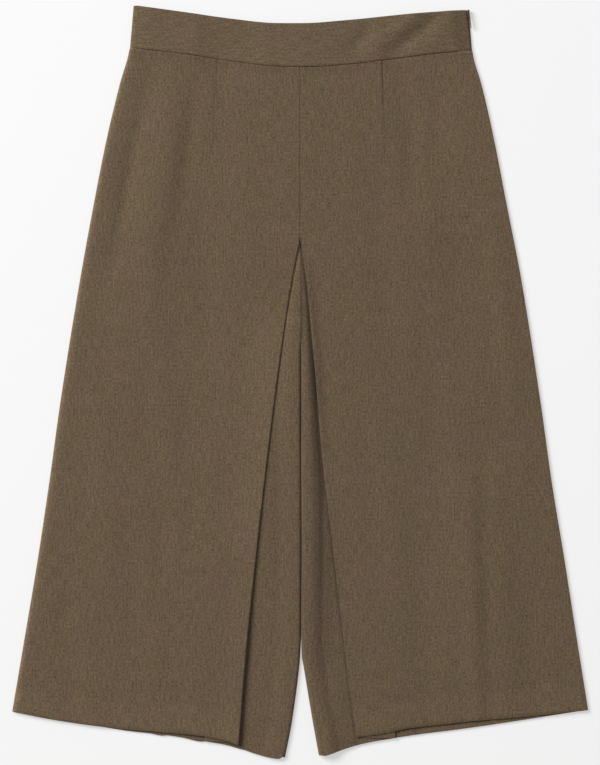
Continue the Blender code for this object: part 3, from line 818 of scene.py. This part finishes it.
def back_leg(name, sign):
    v = panel_rows(7, 120)[:, None]
    level = mix(WAIST[0].seam + GAP, SIDE_HEM_DOWN, v)
    side = side_out(sign, level) - GAP
    edge_down = panel_down(sign, 0.0, v, read(HEM[sign], "back", 0.0))
    edge = inner_edge(sign, edge_down) + sign * UNDERLAP * ease((700 - edge_down) / 40)
    centre = np.linspace(0, 0.37, 24, endpoint=False)
    dart_columns = np.linspace(0.37, 0.5, 36, endpoint=False)
    out = mix(edge, side, np.concatenate([centre, dart_columns, np.linspace(0.5, 1, 32)]))
    hem = read(HEM[sign], "back", out)
    down = panel_down(sign, out, v, hem)
    t, line = along_dart(BACK_DARTS[sign], down)
    sunk = np.clip(1 - t, 0, 1) ** DART_FADE * streak(out - abs(line), BACK_DART_LINE)
    seam = streak(down - read(WAIST, "seam", sign * out), SEAM_DIP_WIDTH)
    turn_line = TURN_DIMPLE * streak(hem - down - HEM_TURN, TURN_LINE)
    lifted = BACK_DIMPLE * np.maximum(np.maximum(sunk, seam), turn_line)
    beside_pleat = ease((out - INNER_FOLD_AT_HEM + 4) / 8)
    lifted = lifted + HEM_LOFT * beside_pleat * ease((HEM_TURN - hem + down) / 8)
    on_floor = CLOTH / 2 + 0.01
    return cloth_object(name, sign * out, down, on_floor + lifted, sign * out, down, CLOTH)


back_right = back_leg("back_leg_right_cloth", -1)
back_left = back_leg("back_leg_left_cloth", 1)

# %% [markdown]
# ## Front waistband
# The band is contoured: it dips at the front and follows the hips. It is doubled over an
# interfacing, so it is thicker and stiffer than the legs, and its top edge is a fold. Its grain
# runs along the band, so its streaks lie across those of the legs. Its ends roll down to the back.

# %% Front waistband
BAND_ROUND = 0.5
BAND_STEP = 0.75  # the band stands this far above the legs
BAND_CALM = 0.25  # over this share of its depth its top edge lies lower
BAND_TOP_DROP = 0.25  # by this much, and as much again at the fold itself
BAND_SEAM_DROP = 0.5  # and by this much at the waist seam
BAND_LINE = 0.9
END_DROP = {-1: 0.8, 1: 2.3}  # how far the band comes down at its ends
END_RUN = {-1: 16.0, 1: 17.0}
# painted shade at the right end, which rolls away from the light, and painted light at the left end
BAND_END_SHADE = {-1: -0.2, 1: 0.35}
BAND_END_SHADE_RUN = {-1: 20.0, 1: 22.0}


def band_grid(ends, rows, parts, inset):
    v = rows[:, None]
    left = -mix(*ends[-1], v) + inset
    right = mix(*ends[1], v) - inset
    x = mix(left, right, parts)
    down = mix(read(WAIST, "top", x), read(WAIST, "seam", x), v)
    return x, down


def rolled_end(x, down, level, toward):
    """The strip that rolls down to the back band at one end."""
    column = -1 if toward > 0 else 0
    bend = np.radians(np.linspace(0, 90, 8, endpoint=False))[::toward * -1]
    out = x[:, column, None] + toward * EDGE_ROLL * np.cos(bend)
    foot = mix(BAND + GAP, level[:, column, None], np.sin(bend))
    return out, down[:, column, None], foot


def near_end(x, toward, run):
    """One at the band's end, and nothing further in than the run."""
    column = x[:, -1:] - x if toward > 0 else x - x[:, :1]
    return 1 - ease(column / run)


def waistband_front():
    rows = np.concatenate([np.linspace(0, 0.05, 5, endpoint=False), np.linspace(0.05, 0.93, 34),
                           np.linspace(0.93, 1, 7)[1:]])
    x, down = band_grid(BAND_END, rows, np.linspace(0, 1, 200), BAND / 2 + EDGE_ROLL)
    level = upper_level(x, down) + (BAND - CLOTH) / 2 + BAND_STEP
    level = level - BAND_TOP_DROP * (1 - ease(rows[:, None] / BAND_CALM))
    for toward in (1, -1):
        level = level - END_DROP[toward] * near_end(x, toward, END_RUN[toward])
    level = level - BAND_SEAM_DROP * streak(read(WAIST, "seam", x) - down, BAND_LINE)
    level = level - BAND_TOP_DROP * streak(down - read(WAIST, "top", x), BAND_LINE)
    ends = [rolled_end(x, down, level, toward) for toward in (-1, 1)]
    x, down, level = join([ends[0], (x, down, level), ends[1]])
    shade = sum(BAND_END_SHADE[toward] * near_end(x, toward, BAND_END_SHADE_RUN[toward])
                for toward in (1, -1))
    return cloth_object("waistband_front_cloth", x, down, level, down, x, BAND, BAND_ROUND, shade)


band_front = waistband_front()

# %% [markdown]
# ## Back waistband
# The band's back half lies flat under the front one and shows only from below. It is read from the
# same table.

# %% Back waistband
def waistband_back():
    rows = np.linspace(0, 1, 14)
    x, down = band_grid(BAND_BACK_END, rows, np.linspace(0, 1, 120), GAP / 2)
    down = down + GAP * (1 - rows[:, None])
    level = np.full_like(x, BAND / 2 - 0.04)
    return cloth_object("waistband_back_cloth", x, down, level, down, x, BAND - 0.1, BAND_ROUND)


band_back = waistband_back()

# %% [markdown]
# ## Concealed zip: tape
# The zip closes the wearer's left side from waist to hip. Closed, its two tapes lie pressed
# together inside the seam, and only the slider shows at the top of the band. The tape is a narrow
# cloth with low ribs along it.

# %% Zip tape
ZIP_LENGTH = 205.0  # from the waist's highest corner
ZIP_TAPE_WIDTH = 11.0
ZIP_TAPE_INSET = 5.0  # from the side seam to the closed coil
ZIP_TAPE_WALL = 0.8
ZIP_LEVEL = 2.2
TAPE_RIB = 0.08  # height of the three ribs along it
ZIP_TOP = float(read(WAIST, "top", BAND_END[1][0]))


def zip_side(down):
    """How far out the closed coil lies."""
    seam = float(read(WAIST, "seam", side_out(1, 0)))
    band = mix(*BAND_END[1], (down - ZIP_TOP) / (seam - ZIP_TOP))
    return np.where(down < seam, band, side_out(1, down)) - ZIP_TAPE_INSET


def zip_tape():
    rows = np.linspace(ZIP_TOP + 2, ZIP_LENGTH, 60)[:, None]
    parts = np.linspace(0, 1, 9)
    out = zip_side(rows) - ZIP_TAPE_WIDTH * (1 - parts)
    down = np.broadcast_to(rows, out.shape)
    rib = TAPE_RIB * np.cos(parts * np.pi * 6)
    level = np.broadcast_to(ZIP_LEVEL + rib, out.shape)
    return cloth_object("zip_tape_cloth", out, down, level, out, down, ZIP_TAPE_WALL, 0.15)


tape = zip_tape()

# %% [markdown]
# ## Concealed zip: coil
# The teeth of a concealed zip are one nylon wire wound in a flat spiral. A curve with a round bevel
# is the direct way to make a wire, and a formula gives its turns.

# %% Coil
COIL_PITCH = 1.25
COIL_WIRE = 0.26  # radius
COIL_HALF_WIDTH = 1.0
COIL_HALF_HEIGHT = 0.62
TURN_POINTS = 8


def zip_coil():
    top = ZIP_TOP + 3.5
    turns = int((ZIP_LENGTH - 6 - top) / COIL_PITCH)
    angle = np.linspace(0, 2 * np.pi * turns, turns * TURN_POINTS)
    down = top + angle / (2 * np.pi) * COIL_PITCH
    out = zip_side(down) + 0.2 + COIL_HALF_WIDTH * np.cos(angle)
    level = ZIP_LEVEL + COIL_HALF_HEIGHT * np.sin(angle)
    line = bpy.data.curves.new("zip_coil", "CURVE")
    set_all(line, dimensions="3D", bevel_depth=COIL_WIRE * MM, bevel_resolution=1, use_fill_caps=True)
    spline = line.splines.new("POLY")
    spline.points.add(len(angle) - 1)
    for point, place in zip(spline.points, np.stack([out, WAIST_LEVEL - down, level], axis=1)):
        point.co = (*(place * MM), 1.0)
    print("coil turns:", turns)
    return add_object("zip_coil", line)


coil = zip_coil()

# %% [markdown]
# ## Hinge of the pull
# A lacquered slider rides the coil and carries a teardrop tab on a bar. Both are drawn about the
# bar's centre. An empty marks that centre and the slope of the band's end, and goes when both
# pieces are placed.

# %% The bar's centre
SLIDER_HEIGHT = 4.0  # across the seam
SLIDER_FOOT = 1.7  # over the floor
SLIDER_DOWN = 1.0  # below the band's corner
SLIDER_GAP = 0.4
BAR_OUT = 1.75  # from the plate's inner face to the bar's centre

band_top, band_seam = BAND_END[1]
band_depth = float(read(WAIST, "seam", band_seam) - read(WAIST, "top", band_top))
slope = math.atan2(band_seam - band_top, band_depth)
away = BAR_OUT + SLIDER_GAP
hinge = add_object("zip_hinge", None)
hinge.location = (
    (band_top + away * math.cos(slope) + SLIDER_DOWN * math.sin(slope)) * MM,
    (WAIST_LEVEL - ZIP_TOP + away * math.sin(slope) - SLIDER_DOWN * math.cos(slope)) * MM,
    (SLIDER_FOOT + SLIDER_HEIGHT / 2) * MM,
)
hinge.rotation_euler.z = slope
print("hinge at", [round(v, 6) for v in hinge.location])

# %% [markdown]
# ## Slider
# The slider is a plate across the seam with two ears that hold the bar. Cast metal has no sharp
# edge, so blocks and a round bar from primitives get a small bevel all round.

# %% Slider
SLIDER_LENGTH = 8.0
PLATE = 0.6
BAR_RADIUS = 0.3
EAR = 0.7
EAR_LENGTH = 1.6
EAR_BACK = 0.15  # from the plate's upper end
CAST_ROUND = 0.16


def add_block(shape, low, high):
    centre = (Vector(low) + Vector(high)) / 2
    size = Vector(high) - Vector(low)
    made = bmesh.ops.create_cube(shape, size=1.0)
    for vert in made["verts"]:
        vert.co = (Vector(a * b for a, b in zip(vert.co, size)) + centre) * MM


def add_post(shape, radius, height):
    bmesh.ops.create_cone(shape, cap_ends=True, segments=32, radius1=radius * MM,
                          radius2=radius * MM, depth=height * MM)


def zip_slider():
    half = SLIDER_HEIGHT / 2
    head = EAR_LENGTH / 2
    shape = bmesh.new()
    add_block(shape, (-BAR_OUT, head - SLIDER_LENGTH, -half), (PLATE - BAR_OUT, head, half))
    for foot in (-half, half - EAR):
        low = (PLATE / 2 - BAR_OUT, -head, foot)
        add_block(shape, low, (BAR_RADIUS * 1.8, head - EAR_BACK, foot + EAR))
    add_post(shape, BAR_RADIUS, SLIDER_HEIGHT - EAR)
    piece = new_piece("zip_slider_cast", shape)
    round_edges(piece, CAST_ROUND, segments=3, sharper_than=40)
    piece.matrix_world = hinge.matrix_basis.copy()
    print(piece.name, "has", len(piece.data.polygons), "faces before rounding")
    return piece


slider = zip_slider()

# %% [markdown]
# ## Pull
# The tab's outline is a circle whose width swells down the tab, given a wall. One Boolean joins the
# round eye and another bores its hole, and the result is kept as a mesh so the cutters can go.

# %% Pull
PULL_LENGTH = 19.0
PULL_WIDTH = 3.2
PULL_WALL = 0.9
EYE_RADIUS = 0.85
EYE_HOLE = 0.58
PULL_ROUND = 0.15
NECK = 0.42  # the tab's width at the eye, as a share of its full width


def teardrop():
    shape = bmesh.new()
    bmesh.ops.create_circle(shape, cap_ends=False, segments=56, radius=1.0)
    for vert in shape.verts:
        down_tab = (1 - vert.co.x) / 2
        swell = NECK + (1 - NECK) * float(ease(down_tab * 1.3))
        y = -EYE_RADIUS * 0.6 - down_tab * (PULL_LENGTH - EYE_RADIUS)
        vert.co = Vector((0.0, y, vert.co.y * swell * PULL_WIDTH / 2)) * MM
    rim = [edge for edge in shape.edges if len(edge.link_faces) == 0]
    bmesh.ops.contextual_create(shape, geom=rim)
    return shape


def zip_pull():
    tab = new_piece("zip_pull_cast", teardrop())
    modify(tab, "wall", "SOLIDIFY", thickness=PULL_WALL * MM, offset=0.0)
    tab.matrix_world = hinge.matrix_basis.copy()
    cutters = []
    for name, radius, height, operation in (
        ("eye", EYE_RADIUS, PULL_WIDTH * 0.8, "UNION"),
        ("hole", EYE_HOLE, PULL_WIDTH * 2, "DIFFERENCE"),
    ):
        shape = bmesh.new()
        add_post(shape, radius, height)
        cutter = new_piece(name, shape, smooth=False)
        cutter.matrix_world = hinge.matrix_basis.copy()
        modify(tab, name, "BOOLEAN", operation=operation, object=cutter)
        cutters.append(cutter)
    bpy.context.view_layer.update()
    seen = tab.evaluated_get(bpy.context.evaluated_depsgraph_get())
    finished = bpy.data.meshes.new_from_object(seen)
    tab.modifiers.clear()
    tab.data = finished
    for cutter in cutters:
        bpy.data.objects.remove(cutter)
    round_edges(tab, PULL_ROUND, segments=2, sharper_than=50)
    print(tab.name, "has", len(tab.data.polygons), "faces before rounding")
    return tab


pull = zip_pull()
bpy.data.objects.remove(hinge)

# %% [markdown]
# ## Nodes for materials
# Every finish is made of nodes, with no picture. The suiting needs the same few steps again and
# again, so small helpers keep each to a line. All read the grain map, so the weave follows the
# cloth round its folds.

# %% Small helpers for materials
def feed(tree, socket, value):
    """Links a node's output to the socket, or sets a plain value."""
    if isinstance(value, bpy.types.NodeSocket):
        tree.links.new(value, socket)
    else:
        socket.default_value = value


def add_node(tree, kind, **settings):
    node = tree.nodes.new(kind)
    for key, value in settings.items():
        if key in node.inputs:
            feed(tree, node.inputs[key], value)
        else:
            setattr(node, key, value)
    return node


def grain_map(tree):
    return add_node(tree, "ShaderNodeUVMap", uv_map="grain").outputs[0]


def grain_noise(tree, weft, warp, detail=0.0):
    """Noise with cells of about weft by warp millimetres on the cloth."""
    size = (1000 / weft, 1000 / warp, 1.0)
    place = add_node(tree, "ShaderNodeMapping", Vector=grain_map(tree), Scale=size).outputs[0]
    noise = add_node(tree, "ShaderNodeTexNoise", noise_dimensions="2D", Vector=place,
                     Scale=1.0, Detail=detail)
    return noise.outputs[0]


def math_node(tree, operation, first, second):
    node = add_node(tree, "ShaderNodeMath", operation=operation)
    feed(tree, node.inputs[0], first)
    feed(tree, node.inputs[1], second)
    return node.outputs[0]


def swing(tree, noise, amount):
    """The noise about zero, times an amount."""
    return math_node(tree, "MULTIPLY", math_node(tree, "SUBTRACT", noise, 0.5), amount)


def twill(tree, pitch, lean):
    """The rounded threads of a fine twill, from 0 between two of them to 1 on top."""
    turned = add_node(tree, "ShaderNodeMapping", Vector=grain_map(tree), Rotation=(0, 0, lean))
    wave = add_node(tree, "ShaderNodeTexWave", wave_type="BANDS", bands_direction="X",
                    Vector=turned.outputs[0], Scale=2 * math.pi / (20 * pitch * MM))
    return wave.outputs[1]


print("helpers for nodes:", grain_noise.__name__, math_node.__name__, swing.__name__, twill.__name__)

# %% [markdown]
# ## Melange suiting
# The cloth is spun from fibres of a few browns, so it reads as one warm brown with short streaks
# along the warp. One noise gives the fibres, another the streaks, and two fine waves the threads of
# a twill. The amounts come from comparing the grain with the photo at the same size. The waistband
# is the same cloth, pressed a little smoother.

# %% Suiting for the legs and for the waistband
SHADE_DEPTH = 0.38  # how much darker the stored shade makes the cloth at one
HUES = ((0.985, 1.012, 0.965), (1.015, 0.988, 1.035))  # a greener and a redder brown
HUE_CONTRAST = 3.5
FIBRE = (1.6, 2.3)  # sizes along the weft and the warp, in mm
STREAK = (1.7, 12.0)
BLOTCH = (70.0, 110.0)
HUE_PATCH = (30.0, 48.0)
THREAD_HEIGHT = 0.06
SHEEN = {"Sheen Weight": 0.25, "Sheen Roughness": 0.45, "Sheen Tint": (0.80, 0.66, 0.50, 1.0)}
Cloth = namedtuple("Cloth", "colour roughness fibres streaks blotches bump")


def suiting_tone(tree, cloth, fibres):
    """How light the cloth is at each place, about one."""
    streaks = grain_noise(tree, *STREAK)
    blotches = grain_noise(tree, *BLOTCH, detail=1.0)
    tone = swing(tree, fibres, cloth.fibres)
    for noise, amount in ((streaks, cloth.streaks), (blotches, cloth.blotches)):
        tone = math_node(tree, "ADD", tone, swing(tree, noise, amount))
    tone = math_node(tree, "ADD", tone, 1.0)
    # the stored painted shade and painted light of the seams, folds and rims
    sewn = add_node(tree, "ShaderNodeAttribute", attribute_name="shade")
    shaded = math_node(tree, "MULTIPLY", sewn.outputs["Fac"], -SHADE_DEPTH)
    return math_node(tree, "MULTIPLY", tone, math_node(tree, "ADD", shaded, 1.0))


def suiting_colour(tree, cloth):
    """Patches of two near hues of the dyed cloth."""
    patches = swing(tree, grain_noise(tree, *HUE_PATCH, detail=1.5), HUE_CONTRAST)
    base = add_node(tree, "ShaderNodeMix", data_type="RGBA")
    feed(tree, base.inputs["Factor"], math_node(tree, "ADD", patches, 0.5))
    for name, hue in zip(("A", "B"), HUES):
        dyed = [c * h for c, h in zip(cloth.colour, hue)]
        socket = [s for s in base.inputs if s.name == name and s.type == "RGBA"][0]
        socket.default_value = (*dyed, 1.0)
    return [s for s in base.outputs if s.type == "RGBA"][0]


def thread_bump(tree, cloth, fibres):
    threads = math_node(tree, "MULTIPLY", twill(tree, 0.5, 0.9), 0.5)
    threads = math_node(tree, "ADD", threads, math_node(tree, "MULTIPLY", twill(tree, 0.4, 0.0), 0.3))
    height = math_node(tree, "ADD", threads, fibres)
    bump = add_node(tree, "ShaderNodeBump", Strength=cloth.bump, Distance=THREAD_HEIGHT * MM,
                    Height=height)
    return bump.outputs[0]


def tinted(tree, shader, colour, tone):
    """Gives the shader a colour times a tone."""
    shade = add_node(tree, "ShaderNodeVectorMath", operation="SCALE", Vector=colour, Scale=tone)
    feed(tree, shader.inputs["Base Color"], shade.outputs[0])


def new_material(name, settings):
    mat = bpy.data.materials.new(name)
    mat.use_nodes = True
    shader = mat.node_tree.nodes["Principled BSDF"]
    for key, value in settings.items():
        shader.inputs[key].default_value = value
    return mat, mat.node_tree, shader


def suiting_material(name, cloth):
    settings = {"Roughness": cloth.roughness, "Specular IOR Level": 0.25, **SHEEN}
    mat, tree, shader = new_material(name, settings)
    fibres = grain_noise(tree, *FIBRE)
    tinted(tree, shader, suiting_colour(tree, cloth), suiting_tone(tree, cloth, fibres))
    feed(tree, shader.inputs["Normal"], thread_bump(tree, cloth, fibres))
    print(name, "has", len(tree.nodes), "nodes")
    return mat


suiting = suiting_material(
    "suiting_melange",
    Cloth((0.1132, 0.0772, 0.0460), 0.9, fibres=0.72, streaks=0.4, blotches=0.06, bump=0.6),
)
band_suiting = suiting_material(
    "suiting_interfaced",
    Cloth((0.1142, 0.0778, 0.0463), 0.87, fibres=0.7, streaks=0.42, blotches=0.05, bump=0.5),
)

# %% [markdown]
# ## Tape, nylon and lacquer
# The zip's parts are a few millimetres wide, so they need a right colour and gloss more than a
# pattern. A very fine noise keeps each from being flat, and the lacquer has a thin coat.

# %% Zip tape, nylon and lacquer
SPECKLE = 900.0  # the noise's scale, for grains of about a millimetre


def plain_material(name, colour, roughness, variation, coat=0.0):
    mat, tree, shader = new_material(name, {"Roughness": roughness, "Coat Weight": coat})
    place = add_node(tree, "ShaderNodeTexCoord").outputs["Object"]
    noise = add_node(tree, "ShaderNodeTexNoise", Vector=place, Scale=SPECKLE, Detail=2.0)
    base = add_node(tree, "ShaderNodeRGB")
    base.outputs[0].default_value = (*colour, 1.0)
    tone = math_node(tree, "ADD", swing(tree, noise.outputs[0], variation), 1.0)
    tinted(tree, shader, base.outputs[0], tone)
    print(name, "has", len(tree.nodes), "nodes")
    return mat


tape_cloth = plain_material("zip_tape_weave", (0.075, 0.060, 0.042), 0.85, 0.3)
nylon = plain_material("zip_nylon", (0.085, 0.070, 0.048), 0.45, 0.1)
lacquer = plain_material("zip_lacquer_satin", (0.115, 0.088, 0.062), 0.45, 0.08, coat=0.1)

# %% [markdown]
# ## Pieces, bodies and materials
# Everything rides on the garment but the pull, which swings on its bar. Each piece stands in for
# its plain solid, but for the coil, which is part of the tape's solid.

# %% Bodies and materials
Worn = namedtuple("Worn", "piece node slot material")
PIECES = (
    Worn(front_right, "front_leg_right", "suiting", suiting),
    Worn(front_left, "front_leg_left", "suiting", suiting),
    Worn(back_right, "back_leg_right", "suiting", suiting),
    Worn(back_left, "back_leg_left", "suiting", suiting),
    Worn(band_front, "waistband_front", "waistband_suiting", band_suiting),
    Worn(band_back, "waistband_back", "waistband_suiting", band_suiting),
    Worn(tape, "zip_tape", "zip_tape", tape_cloth),
    Worn(slider, "zip_slider", "zip_lacquer", lacquer),
)
for worn in PIECES:
    worn.piece.data.materials.clear()
    worn.piece.data.materials.append(worn.material)
    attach(worn.piece, "garment")
    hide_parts(worn.node)

coil.data.materials.append(nylon)
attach(coil, "garment")

pull.data.materials.clear()
pull.data.materials.append(lacquer)
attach(pull, "pull")
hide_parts("zip_pull")
print(len(PIECES) + 1, "pieces ride on the garment, and the pull on its own body")

# %% [markdown]
# ## Sheets of cloth
# Each sheet of cloth was cut flat, and none but the tape is a rectangle. The front legs lie folded
# on the back legs, and the rest lies flat.

# %% Sheets of cloth
print("slider, coil and pull are not sheets of cloth")

# %% [markdown]
# ## Floor
# The photo is a flat lay on a pale sheet that comes out nearly white. Paint alone can't be so
# bright without overlit cloth, so the floor also glows a little, which keeps its shadows soft.

# %% Floor
FLOOR_SIZE = 16.0
FLOOR_DOWN = 0.0006  # clear of the cloth
FLOOR_GLOW = 0.485
bpy.ops.mesh.primitive_plane_add(size=FLOOR_SIZE, location=(0, 0, -FLOOR_DOWN))
floor = bpy.context.object
floor.name = "floor"
paper, _, _ = new_material("pale_paper", {
    "Base Color": (0.40, 0.40, 0.40, 1.0),
    "Emission Color": (1.0, 1.0, 1.0, 1.0),
    "Emission Strength": FLOOR_GLOW,
    "Roughness": 0.9,
    "Specular IOR Level": 0.1,
})
floor.data.materials.append(paper)
print("floor of", FLOOR_SIZE, "m")

# %% [markdown]
# ## Light
# A wide soft light stands at the upper left, low enough for the folds to throw shadows of a few
# millimetres. A bright even sky fills them. One window and white walls would light it so.

# %% Light
KEY_AZIMUTH = math.radians(145)
KEY_ELEVATION = math.radians(38)
KEY_DISTANCE = 7.0
KEY_SIZE = 3.4
KEY_POWER = 620.0
SKY_STRENGTH = 0.34
key_data = bpy.data.lights.new("key", "AREA")
set_all(key_data, shape="RECTANGLE", size=KEY_SIZE, size_y=KEY_SIZE, energy=KEY_POWER)
key = add_object("key", key_data)
key_way = Vector((
    math.cos(KEY_ELEVATION) * math.cos(KEY_AZIMUTH),
    math.cos(KEY_ELEVATION) * math.sin(KEY_AZIMUTH),
    math.sin(KEY_ELEVATION),
))
key.location = key_way * KEY_DISTANCE
key.rotation_euler = key_way.to_track_quat("Z", "Y").to_euler()

sky = bpy.data.worlds.new("studio")
bpy.context.scene.world = sky
sky.use_nodes = True
sky.node_tree.nodes["Background"].inputs["Color"].default_value = (1.0, 1.0, 1.0, 1.0)
sky.node_tree.nodes["Background"].inputs["Strength"].default_value = SKY_STRENGTH
print("key light at", [round(v, 2) for v in key.location])

# %% [markdown]
# ## Camera
# The camera looks straight down from high up, so that the garment has hardly any perspective. Its
# lens follows from the height of the view: what fills the frame's longer side.

# %% Camera
CAMERA_HEIGHT = 4.0
VIEW_HEIGHT = 0.80325
SENSOR = 36.0
FRAME_CENTRE = -0.00045  # y of the photo's middle
eye_data = bpy.data.cameras.new("camera")
set_all(eye_data, sensor_width=SENSOR, lens=SENSOR * CAMERA_HEIGHT / VIEW_HEIGHT)
eye = add_object("camera", eye_data)
eye.location = (0.0, FRAME_CENTRE, CAMERA_HEIGHT)
bpy.context.scene.camera = eye
bpy.context.scene.view_settings.view_transform = "Standard"
print("lens of", round(eye_data.lens, 1), "mm")
